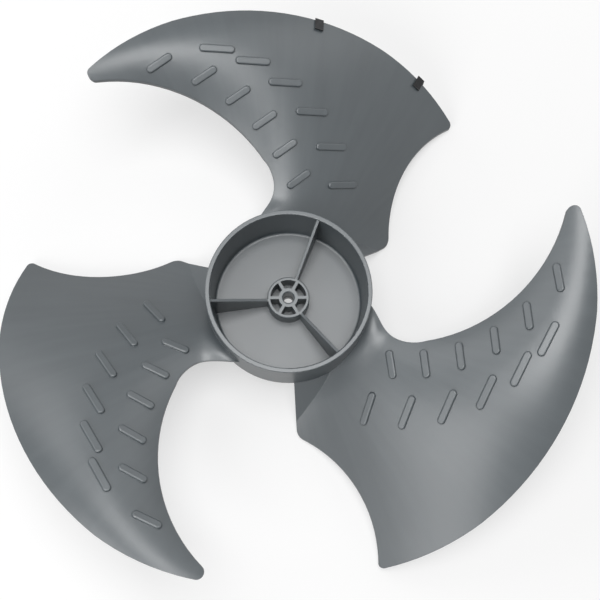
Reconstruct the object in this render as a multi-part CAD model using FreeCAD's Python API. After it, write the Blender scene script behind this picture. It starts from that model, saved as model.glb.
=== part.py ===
import FreeCAD, Part
import math
import os

# Axial fan impeller: one moulding with a cup-shaped hub and three sickle blades, and two balance clips.
# Millimetres and degrees. Z is the shaft's axis and points to the inlet side, where the motor sits.
# Heights are measured from the shoulder in the bore, on which the step of the motor shaft seats.

# Hub cup
RIM_HEIGHT = 35.0
RIM_RADIUS = 59.6
RIM_LAND = 3.3
RIM_ROUND = 0.6
OUTLET_HEIGHT = -7.7
OUTLET_ROUND = 1.5
WALL_DRAFT = 0.8
WALL_FOOT = 6.0
FLOOR_THICKNESS = 4.0
FLOOR_FILLET = 2.0

# Boss: an inner tube for the shaft and an outer ring, with pockets between them
BOSS_HEIGHT = 12.0
TUBE_WALL = 3.2
POCKET_WIDTH = 6.0
RING_WALL = 2.2
RING_CHAMFER = 0.5
SPOKE_COUNT = 6
SPOKE_THICKNESS = 2.4
SPOKE_ANGLE = 1.0

# Bore: round down to the shoulder, then a smaller D-shaped hole for the end of the shaft
BORE_RADIUS = 4.0
BORE_CHAMFER = 0.75
SHOULDER_WIDTH = 0.3
D_FLAT_DEPTH = 0.7
D_FLAT_ANGLE = 250.0
NUT_SEAT_RADIUS = 11.0
NUT_SEAT_DEPTH = 1.0

# Ribs from the boss ring to the hub wall
RIB_COUNT = 3
RIB_THICKNESS = 2.0
RIB_ANGLE = 68.0
RIB_DROP = 1.0

# Blades: the inlet face is a smooth sheet through its heights at four radii and four angles.
# A radius is given by its share of the way from the hub to the tip circle, a height by its share of the rise.
BLADE_COUNT = 3
TIP_RADIUS = 209.7
BLADE_THICKNESS = 2.6
BLADE_RISE = 100.0
SECTION_REACHES = (0.0, 0.333, 0.667, 1.0)
SECTION_ANGLES = (35.0, 65.0, 95.0, 125.0)
FACE_RISES = (
    (-0.20, -0.03, 0.16, 0.06),
    (-0.40, 0.05, 0.30, -0.11),
    (-0.63, 0.08, 0.51, 0.42),
    (-0.81, 0.07, 0.52, 0.73),
)

# Plan outline of a blade, as (share of the way to the tip circle, angle round the shaft)
ROOT_EMBED = 1.6
LEAD_ROOT_ANGLE = 117.0
LEAD_FILLET = ((0.023, 110.5), (0.063, 104.2), (0.136, 98.2), (0.216, 97.7))
LEAD_START = (0.296, 100.5)
LEAD_MIDDLE = (0.616, 115.0)
LEAD_TIP = (0.957, 138.1)
SHOULDER_MIDDLE = (0.981, 127.5)
SHOULDER_ANGLE = 114.0
TRAIL_ANGLE = 70.0
TRAIL_MIDDLE = (0.989, 59.5)
TRAIL_TIP = (0.968, 49.1)
SCOOP_MIDDLE = (0.589, 50.8)
HEEL = (0.249, 34.4)
LEAD_TIP_ROUND = 4.5
TRAIL_TIP_ROUND = 3.5
HEEL_ROUND = 10.0

# Web that flares from the hub's outlet edge down to the blade, where the blade runs below the hub
WEB_SLOPE = 43.0
WEB_END = (0.176, 70.0)

# Two rows of raised turbulator ridges on each inlet face: ends and middle of each row, in plan
RIDGE_WIDTH = 5.6
RIDGE_HEIGHT = 1.8
RIDGE_ROUND = 1.2
RIDGES_PER_ROW = 6
FRONT_ROW = ((0.828, 120.5), (0.516, 101.0), (0.197, 85.3))
FRONT_ROW_CROWDING = 0.87
FRONT_ROW_DIRECTION = 38.0
FRONT_RIDGE_LENGTH = 21.0
REAR_ROW = ((0.800, 107.0), (0.580, 87.3), (0.263, 65.6))
REAR_ROW_CROWDING = 1.0
REAR_ROW_DIRECTION = 0.0
REAR_RIDGE_LENGTH = 26.0

# Balance clips, folded from spring steel and pushed over the tip edge of the first blade
CLIP_ANGLES = (83.6, 59.9)
CLIP_WIDTH = 7.0
CLIP_DEPTH = 8.5
CLIP_SHEET = 0.8
CLIP_CLEARANCE = 0.35
CLIP_NOSE_CLEARANCE = 0.5
CLIP_LIP = 1.2

FULL_TURN = 360.0
AXIS = FreeCAD.Vector(0, 0, 1)
ORIGIN = FreeCAD.Vector(0, 0, 0)

# Sizes that follow from the ones above
OUTLET_RADIUS = RIM_RADIUS + WALL_DRAFT
FLOOR_RADIUS = OUTLET_RADIUS - WALL_FOOT
FLOOR_HEIGHT = OUTLET_HEIGHT + FLOOR_THICKNESS
TUBE_RADIUS = BORE_RADIUS + TUBE_WALL
RING_INNER = TUBE_RADIUS + POCKET_WIDTH
RING_RADIUS = RING_INNER + RING_WALL
D_RADIUS = BORE_RADIUS - SHOULDER_WIDTH
D_FLAT_DISTANCE = D_RADIUS - D_FLAT_DEPTH
TALL = 4 * (RIM_HEIGHT + BLADE_RISE)

# Grid of the blade's sheets, which reach past the outline, and the steps for normals and for finding edges
SHEET_MARGIN = 14.0
SHEET_LEAD_ANGLE = 149.0
SHEET_TRAIL_ANGLE = 24.0
SHEET_ROWS = 12
SHEET_COLUMNS = 20
NORMAL_STEP = 0.5
SAME_PLACE = 0.001


def polar(radius, angle, height=0.0):
    turn = math.radians(angle)
    return FreeCAD.Vector(radius * math.cos(turn), radius * math.sin(turn), height)


def radius_at(reach):
    """The radius at this share of the way from the hub to the tip circle."""
    return RIM_RADIUS + reach * (TIP_RADIUS - RIM_RADIUS)


def plan(place):
    """A plan point from its share of the way to the tip circle and its angle."""
    reach, angle = place
    return polar(radius_at(reach), angle)


def turned(shape, angle):
    copy = shape.copy()
    copy.rotate(ORIGIN, AXIS, angle)
    return copy


def revolved(points, angle=FULL_TURN):
    """A solid of revolution from (radius, height) points."""
    corners = [FreeCAD.Vector(radius, 0, height) for radius, height in points]
    face = Part.Face(Part.makePolygon(corners + corners[:1]))
    return face.revolve(ORIGIN, AXIS, angle)


def edges_at(shape, radius, height):
    """The circular edges round the axis that have this radius and height."""
    found = []
    for edge in shape.Edges:
        curve = edge.Curve
        if not isinstance(curve, Part.Circle):
            continue
        same_radius = abs(curve.Radius - radius) < SAME_PLACE
        same_place = (curve.Center - FreeCAD.Vector(0, 0, height)).Length < SAME_PLACE
        if same_radius and same_place:
            found.append(edge)
    return found


def hub_cup():
    rim_inner = RIM_RADIUS - RIM_LAND
    cup = revolved([
        (0, OUTLET_HEIGHT),
        (OUTLET_RADIUS, OUTLET_HEIGHT),
        (RIM_RADIUS, RIM_HEIGHT),
        (rim_inner, RIM_HEIGHT),
        (FLOOR_RADIUS, FLOOR_HEIGHT),
        (0, FLOOR_HEIGHT),
    ])
    rim_edges = edges_at(cup, RIM_RADIUS, RIM_HEIGHT) + edges_at(cup, rim_inner, RIM_HEIGHT)
    cup = cup.makeFillet(RIM_ROUND, rim_edges)
    cup = cup.makeFillet(OUTLET_ROUND, edges_at(cup, OUTLET_RADIUS, OUTLET_HEIGHT))
    return cup.makeFillet(FLOOR_FILLET, edges_at(cup, FLOOR_RADIUS, FLOOR_HEIGHT))


def boss():
    """The ring, the tube and the spokes between them, standing on the hub's floor."""
    foot = FLOOR_HEIGHT - FLOOR_THICKNESS / 2
    tall = BOSS_HEIGHT - foot
    ring = Part.makeCylinder(RING_RADIUS, tall, FreeCAD.Vector(0, 0, foot))
    ring = ring.makeChamfer(RING_CHAMFER, edges_at(ring, RING_RADIUS, BOSS_HEIGHT))
    pocket_tall = BOSS_HEIGHT - FLOOR_HEIGHT
    pockets = Part.makeCylinder(RING_INNER, pocket_tall, FreeCAD.Vector(0, 0, FLOOR_HEIGHT))
    pockets = pockets.cut(Part.makeCylinder(TUBE_RADIUS, pocket_tall, FreeCAD.Vector(0, 0, FLOOR_HEIGHT)))
    corner = FreeCAD.Vector(0, -SPOKE_THICKNESS / 2, FLOOR_HEIGHT)
    spoke = Part.makeBox(RING_RADIUS, SPOKE_THICKNESS, pocket_tall, corner)
    for number in range(SPOKE_COUNT):
        pockets = pockets.cut(turned(spoke, SPOKE_ANGLE + number * FULL_TURN / SPOKE_COUNT))
    return ring.cut(pockets)


def bore():
    """What the shaft and its nut take out of the boss and the floor."""
    round_part = Part.makeCylinder(BORE_RADIUS, BOSS_HEIGHT)
    mouth_foot = FreeCAD.Vector(0, 0, BOSS_HEIGHT - BORE_CHAMFER)
    mouth = Part.makeCone(BORE_RADIUS, BORE_RADIUS + BORE_CHAMFER, BORE_CHAMFER, mouth_foot)
    depth = 2 * abs(OUTLET_HEIGHT)
    d_part = Part.makeCylinder(D_RADIUS, depth, FreeCAD.Vector(0, 0, -depth))
    beyond_flat = Part.makeBox(
        D_RADIUS, 2 * D_RADIUS, depth, FreeCAD.Vector(D_FLAT_DISTANCE, -D_RADIUS, -depth)
    )
    d_part = d_part.cut(turned(beyond_flat, D_FLAT_ANGLE))
    nut_seat = Part.makeCylinder(
        NUT_SEAT_RADIUS, depth, FreeCAD.Vector(0, 0, OUTLET_HEIGHT + NUT_SEAT_DEPTH - depth)
    )
    return round_part.fuse([mouth, d_part, nut_seat])


def rib():
    """A thin upright wall whose top edge slopes from the boss up to the hub's rim."""
    rim_inner = RIM_RADIUS - RIM_LAND
    foot = FLOOR_HEIGHT - FLOOR_THICKNESS / 2
    start = RING_RADIUS - RING_WALL / 2
    end = rim_inner + RIM_LAND / 2
    top = RIM_HEIGHT - RIB_DROP
    outline = [
        (start, foot),
        (FLOOR_RADIUS + RIM_LAND / 2, foot),
        (end, top),
        (rim_inner, top),
        (RING_RADIUS, BOSS_HEIGHT),
        (start, BOSS_HEIGHT),
    ]
    corners = [FreeCAD.Vector(radius, -RIB_THICKNESS / 2, height) for radius, height in outline]
    face = Part.Face(Part.makePolygon(corners + corners[:1]))
    return turned(face.extrude(FreeCAD.Vector(0, RIB_THICKNESS, 0)), RIB_ANGLE)


def weights(value, stations):
    """How much each station counts at this value, on the smooth curve through all of them."""
    shares = []
    for here in stations:
        share = 1.0
        for other in stations:
            if other != here:
                share *= (value - other) / (here - other)
        shares.append(share)
    return shares


def face_height(radius, angle):
    reach = (radius - RIM_RADIUS) / (TIP_RADIUS - RIM_RADIUS)
    across = weights(reach, SECTION_REACHES)
    around = weights(angle, SECTION_ANGLES)
    rise = sum(a * b * FACE_RISES[i][j] for i, a in enumerate(across) for j, b in enumerate(around))
    return rise * BLADE_RISE


def face_point(radius, angle, offset=0.0):
    """A point of the inlet face, moved along the face's normal by the offset."""
    point = polar(radius, angle, face_height(radius, angle))
    return point + face_normal(radius, angle) * offset


def face_normal(radius, angle):
    step = math.degrees(NORMAL_STEP / radius)
    outward = polar(radius + NORMAL_STEP, angle, face_height(radius + NORMAL_STEP, angle))
    outward -= polar(radius - NORMAL_STEP, angle, face_height(radius - NORMAL_STEP, angle))
    around = polar(radius, angle + step, face_height(radius, angle + step))
    around -= polar(radius, angle - step, face_height(radius, angle - step))
    return outward.cross(around).normalize()


def blade_sheet(offset):
    """The inlet face carried past the blade's outline on every side, moved by the offset."""
    first = RIM_RADIUS - RIM_LAND - SHEET_MARGIN
    last = TIP_RADIUS + SHEET_MARGIN
    grid = []
    for row in range(SHEET_ROWS):
        radius = first + (last - first) * row / (SHEET_ROWS - 1)
        line = []
        for column in range(SHEET_COLUMNS):
            span = SHEET_LEAD_ANGLE - SHEET_TRAIL_ANGLE
            angle = SHEET_TRAIL_ANGLE + span * column / (SHEET_COLUMNS - 1)
            line.append(face_point(radius, angle, offset))
        grid.append(line)
    sheet = Part.BSplineSurface()
    sheet.interpolate(grid)
    return sheet.toShape()


def arc(start, middle, end):
    return Part.Arc(start, middle, end).toShape()


def blade_outline():
    """A prism with the blade's plan outline, with its three free corners rounded."""
    heel_angle = HEEL[1]
    root_radius = RIM_RADIUS - ROOT_EMBED
    heel_root = polar(root_radius, heel_angle)
    root_middle = polar(root_radius, (LEAD_ROOT_ANGLE + heel_angle) / 2)
    lead_root = polar(root_radius, LEAD_ROOT_ANGLE)
    tip_start = polar(TIP_RADIUS, SHOULDER_ANGLE)
    tip_middle = polar(TIP_RADIUS, (SHOULDER_ANGLE + TRAIL_ANGLE) / 2)
    tip_end = polar(TIP_RADIUS, TRAIL_ANGLE)
    lead_fillet = Part.BSplineCurve()
    lead_fillet.interpolate([lead_root] + [plan(place) for place in LEAD_FILLET + (LEAD_START,)])
    edges = [
        arc(heel_root, root_middle, lead_root),
        lead_fillet.toShape(),
        arc(plan(LEAD_START), plan(LEAD_MIDDLE), plan(LEAD_TIP)),
        arc(plan(LEAD_TIP), plan(SHOULDER_MIDDLE), tip_start),
        arc(tip_start, tip_middle, tip_end),
        arc(tip_end, plan(TRAIL_MIDDLE), plan(TRAIL_TIP)),
        arc(plan(TRAIL_TIP), plan(SCOOP_MIDDLE), plan(HEEL)),
        Part.LineSegment(plan(HEEL), heel_root).toShape(),
    ]
    prism = Part.Face(Part.Wire(edges)).extrude(FreeCAD.Vector(0, 0, 2 * TALL))
    prism.translate(FreeCAD.Vector(0, 0, -TALL))
    for corner, size in ((LEAD_TIP, LEAD_TIP_ROUND), (TRAIL_TIP, TRAIL_TIP_ROUND), (HEEL, HEEL_ROUND)):
        prism = prism.makeFillet(size, upright_edges(prism, plan(corner)))
    return prism


def upright_edges(shape, place):
    found = []
    for edge in shape.Edges:
        box = edge.BoundBox
        centre = FreeCAD.Vector(box.Center.x, box.Center.y, 0)
        if box.ZLength > TALL and (centre - place).Length < SAME_PLACE:
            found.append(edge)
    return found


def row_places(row, crowding):
    """Where the ridges of one row lie in plan, along the arc through the row's three points."""
    path = arc(*[plan(place) for place in row])
    places = []
    for number in range(RIDGES_PER_ROW):
        share = (number / (RIDGES_PER_ROW - 1)) ** crowding
        places.append(path.valueAt(path.getParameterByLength(share * path.Length)))
    return places


def ridge(place, direction, length):
    """A raised stadium with a rounded crest, square to the face at this place, its foot inside the blade."""
    half = (length - RIDGE_WIDTH) / 2
    radius = RIDGE_WIDTH / 2
    foot = -BLADE_THICKNESS / 2
    edges = []
    for side in (1, -1):
        start = FreeCAD.Vector(side * half, -side * radius, foot)
        middle = FreeCAD.Vector(side * (half + radius), 0, foot)
        end = FreeCAD.Vector(side * half, side * radius, foot)
        edges.append(arc(start, middle, end))
        edges.append(Part.LineSegment(end, FreeCAD.Vector(-side * half, side * radius, foot)).toShape())
    block = Part.Face(Part.Wire(edges)).extrude(FreeCAD.Vector(0, 0, RIDGE_HEIGHT - foot))
    crest = [edge for edge in block.Edges if abs(edge.BoundBox.ZMin - RIDGE_HEIGHT) < SAME_PLACE]
    block = block.makeFillet(RIDGE_ROUND, crest)

    reach = math.hypot(place.x, place.y)
    angle = math.degrees(math.atan2(place.y, place.x))
    normal = face_normal(reach, angle)
    along = polar(1, direction)
    across = normal.cross(along)
    stand = FreeCAD.Rotation(across.cross(normal), across, normal, "ZXY")
    block.Placement = FreeCAD.Placement(face_point(reach, angle), stand)
    return block


def ridges():
    """The two rows of ridges of one blade."""
    rows = (
        (FRONT_ROW, FRONT_ROW_CROWDING, FRONT_ROW_DIRECTION, FRONT_RIDGE_LENGTH),
        (REAR_ROW, REAR_ROW_CROWDING, REAR_ROW_DIRECTION, REAR_RIDGE_LENGTH),
    )
    return [
        ridge(place, direction, length)
        for row, crowding, direction, length in rows
        for place in row_places(row, crowding)
    ]


def web_profile():
    """The web's section in (radius, height): a strip as thick as the blade below its upper, conical face."""
    fall = math.tan(math.radians(WEB_SLOPE))
    drop = BLADE_THICKNESS / math.cos(math.radians(WEB_SLOPE))
    upper = [
        (radius, OUTLET_HEIGHT + OUTLET_ROUND - fall * (radius - OUTLET_RADIUS))
        for radius in (RIM_RADIUS - RIM_LAND, radius_at(WEB_END[0]))
    ]
    lower = [(radius, height - drop) for radius, height in reversed(upper)]
    return upper + lower


def half_space(sheet, height):
    """All that lies between the sheet and its copy at this height above it, or below it if negative."""
    return sheet.extrude(FreeCAD.Vector(0, 0, height))


def blade():
    """One blade with its ridges and the web under its root, and nothing of it below the web."""
    above_lower = half_space(blade_sheet(-BLADE_THICKNESS), 2 * TALL)
    below_upper = half_space(blade_sheet(0.0), -2 * TALL)
    plate = blade_outline().common(above_lower).common(below_upper)

    web = revolved(web_profile(), WEB_END[1] - HEEL[1])
    web = turned(web, HEEL[1]).common(above_lower)
    (low_radius, low_height), (top_radius, top_height) = web_profile()[2:]
    under_hub = revolved([
        (0, -TALL),
        (low_radius, -TALL),
        (low_radius, low_height),
        (top_radius, top_height),
        (0, top_height),
    ])
    return plate.cut(under_hub).fuse([web] + ridges())


def impeller():
    body = hub_cup().fuse([boss()] + [
        turned(rib(), number * FULL_TURN / RIB_COUNT) for number in range(RIB_COUNT)
    ])
    body = body.cut(bore())
    one = blade()
    return body.fuse([turned(one, number * FULL_TURN / BLADE_COUNT) for number in range(BLADE_COUNT)])


def balance_clip(angle):
    """A strip folded into a U over the blade's upright edge, with the ends of its legs flared for fitting."""
    middle_radius = TIP_RADIUS - CLIP_DEPTH / 2
    middle = face_point(middle_radius, angle, -BLADE_THICKNESS / 2)
    normal = face_normal(middle_radius, angle)
    along = normal.cross(polar(-1, angle)).normalize()
    inward = along.cross(normal).normalize()
    upward = AXIS / normal.z

    gap = BLADE_THICKNESS / 2 + CLIP_CLEARANCE
    outer = gap + CLIP_SHEET
    end = CLIP_DEPTH / 2
    mouth = end - CLIP_LIP
    nose = -end - CLIP_NOSE_CLEARANCE
    profile = [
        (nose, gap),
        (mouth, gap),
        (end, gap + CLIP_LIP / 2),
        (end, outer + CLIP_LIP / 2),
        (mouth, outer),
        (nose - CLIP_SHEET, outer),
    ]
    mirrored = [(depth, -rise) for depth, rise in reversed(profile)]
    corners = [
        middle + inward * depth + upward * rise - along * (CLIP_WIDTH / 2)
        for depth, rise in profile + mirrored
    ]
    face = Part.Face(Part.makePolygon(corners + corners[:1]))
    return face.extrude(along * CLIP_WIDTH)


nodes = {"impeller": impeller()}
for number, clip_angle in enumerate(CLIP_ANGLES, start=1):
    nodes["balance_clip_%d" % number] = balance_clip(clip_angle)

os.makedirs("parts", exist_ok=True)
for name, shape in nodes.items():
    shape.exportStep("parts/" + name + ".step")
    print(name, shape.isValid(), len(shape.Solids), "solids", round(shape.Volume), "mm3")
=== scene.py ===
from math import cos, pi, radians, sin

import bpy
from mathutils import Matrix, Vector


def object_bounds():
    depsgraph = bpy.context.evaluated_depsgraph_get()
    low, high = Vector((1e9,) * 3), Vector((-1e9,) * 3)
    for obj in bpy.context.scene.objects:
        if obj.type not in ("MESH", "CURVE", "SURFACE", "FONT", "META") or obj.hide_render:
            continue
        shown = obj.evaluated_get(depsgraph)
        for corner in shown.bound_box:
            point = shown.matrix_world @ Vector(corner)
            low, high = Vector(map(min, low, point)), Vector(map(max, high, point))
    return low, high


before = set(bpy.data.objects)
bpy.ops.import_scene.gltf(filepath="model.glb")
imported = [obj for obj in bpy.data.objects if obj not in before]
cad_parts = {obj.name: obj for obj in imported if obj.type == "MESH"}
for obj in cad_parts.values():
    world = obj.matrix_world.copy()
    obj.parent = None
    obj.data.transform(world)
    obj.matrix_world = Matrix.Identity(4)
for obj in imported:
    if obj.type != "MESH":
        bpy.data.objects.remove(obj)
cad_low, cad_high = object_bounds()

# Lengths are in metres, in the part's frame, and tones are linear. IN_PLAN leaves out the height.
WHITE = (1.0, 1.0, 1.0, 1.0)
IN_PLAN = (1.0, 1.0, 0.0)
UNIT_RANGE = (0.0, 1.0)

# Camera: above the inlet side and a little towards -Y, aimed at the hub
CAMERA_PLACE = Vector((-0.0077, -0.1721, 0.7133))
CAMERA_VIEW = Vector((0.0224, 0.2358, -0.9715))
CAMERA_UP = Vector((-0.0054, 0.9718, 0.2357))
LENS_MM = 59.19
SENSOR_MM = 36.0

# Lights: round soft boxes aimed at the hub, as (name, degrees above the floor, degrees round the shaft,
# share). A share of 1 lights a surface that faces the box at the plain level.
LIGHTS = (
    ("top", 90.0, 0.0, 0.72),
    ("front_left", 40.0, 225.0, 0.45),
    ("back_left", 40.0, 135.0, 0.20),
    ("back_right", 40.0, 45.0, 0.10),
)
LIGHT_DISTANCE = 1.5
LIGHT_SIZE = 1.0
WORLD_STRENGTH = 0.02

# Floor: where it is looked at it glows, by the first value near the part and by the second far off
FLOOR_GAP = 0.0005
FLOOR_HALF = 3.0
FLOOR_TONE = (0.40, 0.40, 0.40, 1.0)
FLOOR_GLOW = (0.55, 0.98)
GLOW_REACH = (0.2, 1.8)

# Moulding: tones as (place on the ramp, tone), roughness from and to, softened edges
MOULDING_TONES = ((0.30, (0.045, 0.056, 0.063, 1.0)), (0.72, (0.065, 0.078, 0.086, 1.0)))
MOULDING_ROUGHNESS = (0.34, 0.46)
MOULDING_SPECULAR = 0.95
MOTTLING = {"Scale": 14.0, "Detail": 4.0, "Roughness": 0.55}
GRAIN = {"Scale": 900.0, "Detail": 2.0, "Roughness": 0.5}
GRAIN_BUMP = {"Strength": 0.12, "Distance": 0.0002}
EDGE_SOFTNESS = 0.0006

# Flow streaks: their spacing, and the radii between which their share grows
STREAKS = {"Scale": 1.0, "Detail": 3.0, "Roughness": 0.5}
STREAKS_PER_RADIAN = 22.0
STREAKS_PER_METRE = 14.0
STREAK_SHARE = (0.0, 0.55)
STREAKS_GROW = (0.060, 0.100)

# Clips
CLIP_TONES = ((0.35, (0.008, 0.008, 0.009, 1.0)), (0.80, (0.030, 0.031, 0.033, 1.0)))
CLIP_ROUGHNESS = 0.42
CLIP_METALLIC = 0.4
WEAR = {"Scale": 260.0, "Detail": 5.0, "Roughness": 0.6}


def empty_tree(owner):
    """Node tree of a material or a world, with nothing in it."""
    owner.use_nodes = True
    owner.node_tree.nodes.clear()
    return owner.node_tree


def node(tree, kind, operation=None, **inputs):
    """Adds a node; the inputs carry their sockets' names, with _ in place of a space."""
    made = tree.nodes.new("ShaderNode" + kind)
    if operation:
        made.operation = operation
    for name, value in inputs.items():
        made.inputs[name.replace("_", " ")].default_value = value
    return made


def map_range(tree, reads, gives):
    """Carries a value from the range it reads to the range it gives."""
    return node(tree, "MapRange", From_Min=reads[0], From_Max=reads[1], To_Min=gives[0], To_Max=gives[1])


def colour_ramp(tree, tones):
    """Ramp through tones given as (place on the ramp, tone)."""
    ramp = node(tree, "ValToRGB")
    for element, (stop, tone) in zip(ramp.color_ramp.elements, tones):
        element.position = stop
        element.color = tone
    return ramp


def looked_at(tree):
    """Socket that is 1 where a background is looked at, straight, in a gloss or through glass."""
    link = tree.links.new
    rays = node(tree, "LightPath")
    seen = node(tree, "Math", "MAXIMUM")
    all_seen = node(tree, "Math", "MAXIMUM")
    link(rays.outputs["Is Camera Ray"], seen.inputs[0])
    link(rays.outputs["Is Glossy Ray"], seen.inputs[1])
    link(seen.outputs["Value"], all_seen.inputs[0])
    link(rays.outputs["Is Transmission Ray"], all_seen.inputs[1])
    return all_seen.outputs["Value"]


def flow_streaks(tree, place):
    """Noise drawn out along the radii, as the melt flows from the hub to the blade tips, and its share."""
    link = tree.links.new
    flat = node(tree, "VectorMath", "MULTIPLY")
    flat.inputs[1].default_value = IN_PLAN
    reach = node(tree, "VectorMath", "LENGTH")
    outward = node(tree, "VectorMath", "NORMALIZE")
    around = node(tree, "VectorMath", "SCALE", Scale=STREAKS_PER_RADIAN)
    stretch = node(tree, "Math", "MULTIPLY")
    stretch.inputs[1].default_value = STREAKS_PER_METRE
    along = node(tree, "CombineXYZ")
    both = node(tree, "VectorMath", "ADD")
    streaks = node(tree, "TexNoise", **STREAKS)
    share = map_range(tree, STREAKS_GROW, STREAK_SHARE)
    link(place, flat.inputs[0])
    link(flat.outputs["Vector"], reach.inputs[0])
    link(flat.outputs["Vector"], outward.inputs[0])
    link(outward.outputs["Vector"], around.inputs[0])
    link(reach.outputs["Value"], stretch.inputs[0])
    link(stretch.outputs["Value"], along.inputs["Z"])
    link(around.outputs["Vector"], both.inputs[0])
    link(along.outputs["Vector"], both.inputs[1])
    link(both.outputs["Vector"], streaks.inputs["Vector"])
    link(reach.outputs["Value"], share.inputs["Value"])
    return streaks.outputs["Fac"], share.outputs["Result"]


def moulding_material():
    """Satin grey-blue moulded plastic with faint flow streaks, a faint mottling and a fine grain."""
    material = bpy.data.materials.new("moulding")
    tree = empty_tree(material)
    link = tree.links.new
    place = node(tree, "TexCoord").outputs["Object"]
    cloud = node(tree, "TexNoise", **MOTTLING)
    streaks, share = flow_streaks(tree, place)
    blend = node(tree, "Mix")
    ramp = colour_ramp(tree, MOULDING_TONES)
    gloss = map_range(tree, UNIT_RANGE, MOULDING_ROUGHNESS)
    grain = node(tree, "TexNoise", **GRAIN)
    bump = node(tree, "Bump", **GRAIN_BUMP)
    soft_edges = node(tree, "Bevel", Radius=EDGE_SOFTNESS)
    shader = node(tree, "BsdfPrincipled", Specular_IOR_Level=MOULDING_SPECULAR)
    out = node(tree, "OutputMaterial")
    link(place, cloud.inputs["Vector"])
    link(place, grain.inputs["Vector"])
    link(share, blend.inputs["Factor"])
    link(cloud.outputs["Fac"], blend.inputs["A"])
    link(streaks, blend.inputs["B"])
    link(blend.outputs["Result"], ramp.inputs["Fac"])
    link(blend.outputs["Result"], gloss.inputs["Value"])
    link(grain.outputs["Fac"], bump.inputs["Height"])
    link(soft_edges.outputs["Normal"], bump.inputs["Normal"])
    link(ramp.outputs["Color"], shader.inputs["Base Color"])
    link(gloss.outputs["Result"], shader.inputs["Roughness"])
    link(bump.outputs["Normal"], shader.inputs["Normal"])
    link(shader.outputs["BSDF"], out.inputs["Surface"])
    return material


def clip_material():
    """Blackened spring steel with slightly worn patches."""
    material = bpy.data.materials.new("clip_steel")
    tree = empty_tree(material)
    link = tree.links.new
    place = node(tree, "TexCoord").outputs["Object"]
    wear = node(tree, "TexNoise", **WEAR)
    ramp = colour_ramp(tree, CLIP_TONES)
    shader = node(tree, "BsdfPrincipled", Roughness=CLIP_ROUGHNESS, Metallic=CLIP_METALLIC)
    out = node(tree, "OutputMaterial")
    link(place, wear.inputs["Vector"])
    link(wear.outputs["Fac"], ramp.inputs["Fac"])
    link(ramp.outputs["Color"], shader.inputs["Base Color"])
    link(shader.outputs["BSDF"], out.inputs["Surface"])
    return material


def floor_material():
    """Pale floor, seen as near white, that keeps a soft shadow and can be looked through from below."""
    material = bpy.data.materials.new("floor")
    tree = empty_tree(material)
    link = tree.links.new
    place = node(tree, "TexCoord").outputs["Object"]
    away = node(tree, "VectorMath", "LENGTH")
    level = map_range(tree, GLOW_REACH, FLOOR_GLOW)
    glow = node(tree, "Emission")
    plain = node(tree, "BsdfDiffuse", Color=FLOOR_TONE)
    glowing = node(tree, "AddShader")
    lit = node(tree, "MixShader")
    side = node(tree, "NewGeometry")
    see_through = node(tree, "BsdfTransparent")
    one_sided = node(tree, "MixShader")
    out = node(tree, "OutputMaterial")
    link(place, away.inputs[0])
    link(away.outputs["Value"], level.inputs["Value"])
    link(level.outputs["Result"], glow.inputs["Strength"])
    link(glow.outputs["Emission"], glowing.inputs[0])
    link(plain.outputs["BSDF"], glowing.inputs[1])
    link(looked_at(tree), lit.inputs["Fac"])
    link(plain.outputs["BSDF"], lit.inputs[1])
    link(glowing.outputs["Shader"], lit.inputs[2])
    link(side.outputs["Backfacing"], one_sided.inputs["Fac"])
    link(lit.outputs["Shader"], one_sided.inputs[1])
    link(see_through.outputs["BSDF"], one_sided.inputs[2])
    link(one_sided.outputs["Shader"], out.inputs["Surface"])
    return material


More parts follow.
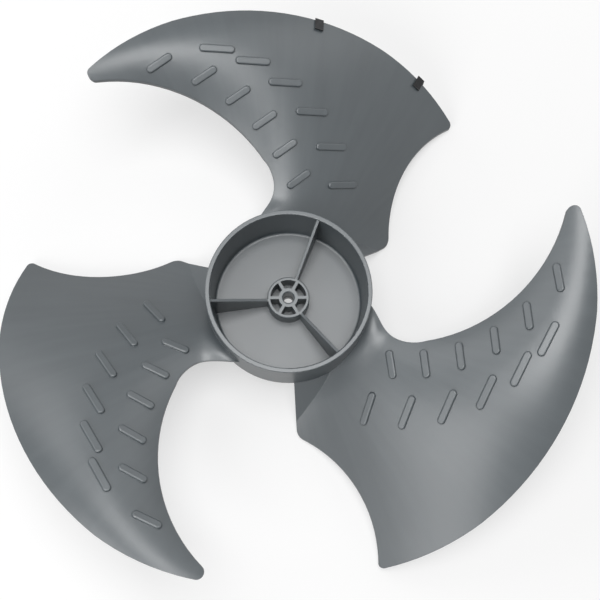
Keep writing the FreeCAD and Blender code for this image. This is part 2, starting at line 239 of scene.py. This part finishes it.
def white_world():
    """Even, faint light from all round, and plain white where it is looked at."""
    world = bpy.data.worlds.new("studio")
    bpy.context.scene.world = world
    tree = empty_tree(world)
    link = tree.links.new
    light = node(tree, "Background", Color=WHITE, Strength=WORLD_STRENGTH)
    white = node(tree, "Background", Color=WHITE, Strength=1.0)
    lit = node(tree, "MixShader")
    out = node(tree, "OutputWorld")
    link(looked_at(tree), lit.inputs["Fac"])
    link(light.outputs["Background"], lit.inputs[1])
    link(white.outputs["Background"], lit.inputs[2])
    link(lit.outputs["Shader"], out.inputs["Surface"])


def added(name, data):
    """An object of the scene that holds the data."""
    made = bpy.data.objects.new(name, data)
    bpy.context.scene.collection.objects.link(made)
    return made


def add_camera():
    data = bpy.data.cameras.new("camera")
    data.lens = LENS_MM
    data.sensor_fit = "HORIZONTAL"
    data.sensor_width = SENSOR_MM
    back = -CAMERA_VIEW.normalized()
    right = CAMERA_UP.cross(back).normalized()
    up = back.cross(right)
    turn = Matrix((right, up, back)).transposed().to_4x4()
    camera = added("camera", data)
    camera.matrix_world = Matrix.Translation(CAMERA_PLACE) @ turn
    bpy.context.scene.camera = camera


def add_light(name, elevation, azimuth, share):
    data = bpy.data.lights.new(name, "AREA")
    data.shape = "DISK"
    data.size = LIGHT_SIZE
    data.energy = share * (pi * LIGHT_DISTANCE) ** 2
    rise, turn = radians(elevation), radians(azimuth)
    outward = Vector((cos(rise) * cos(turn), cos(rise) * sin(turn), sin(rise)))
    aim = (-outward).to_track_quat("-Z", "Y")
    light = added(name, data)
    light.matrix_world = Matrix.Translation(outward * LIGHT_DISTANCE) @ aim.to_matrix().to_4x4()


def add_floor(height):
    mesh = bpy.data.meshes.new("floor")
    signs = ((-1, -1), (1, -1), (1, 1), (-1, 1))
    corners = [(x * FLOOR_HALF, y * FLOOR_HALF, height) for x, y in signs]
    mesh.from_pydata(corners, [], [(0, 1, 2, 3)])
    mesh.materials.append(floor_material())
    floor = added("floor", mesh)


def dress(name, material):
    """Gives a CAD node its material."""
    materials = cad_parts[name].data.materials
    materials.clear()
    materials.append(material)


add_camera()
white_world()
for light in LIGHTS:
    add_light(*light)
add_floor(cad_low[2] - FLOOR_GAP)

dress("impeller", moulding_material())
steel = clip_material()
for clip in ("balance_clip_1", "balance_clip_2"):
    dress(clip, steel)

bpy.context.scene.view_settings.view_transform = "Standard"
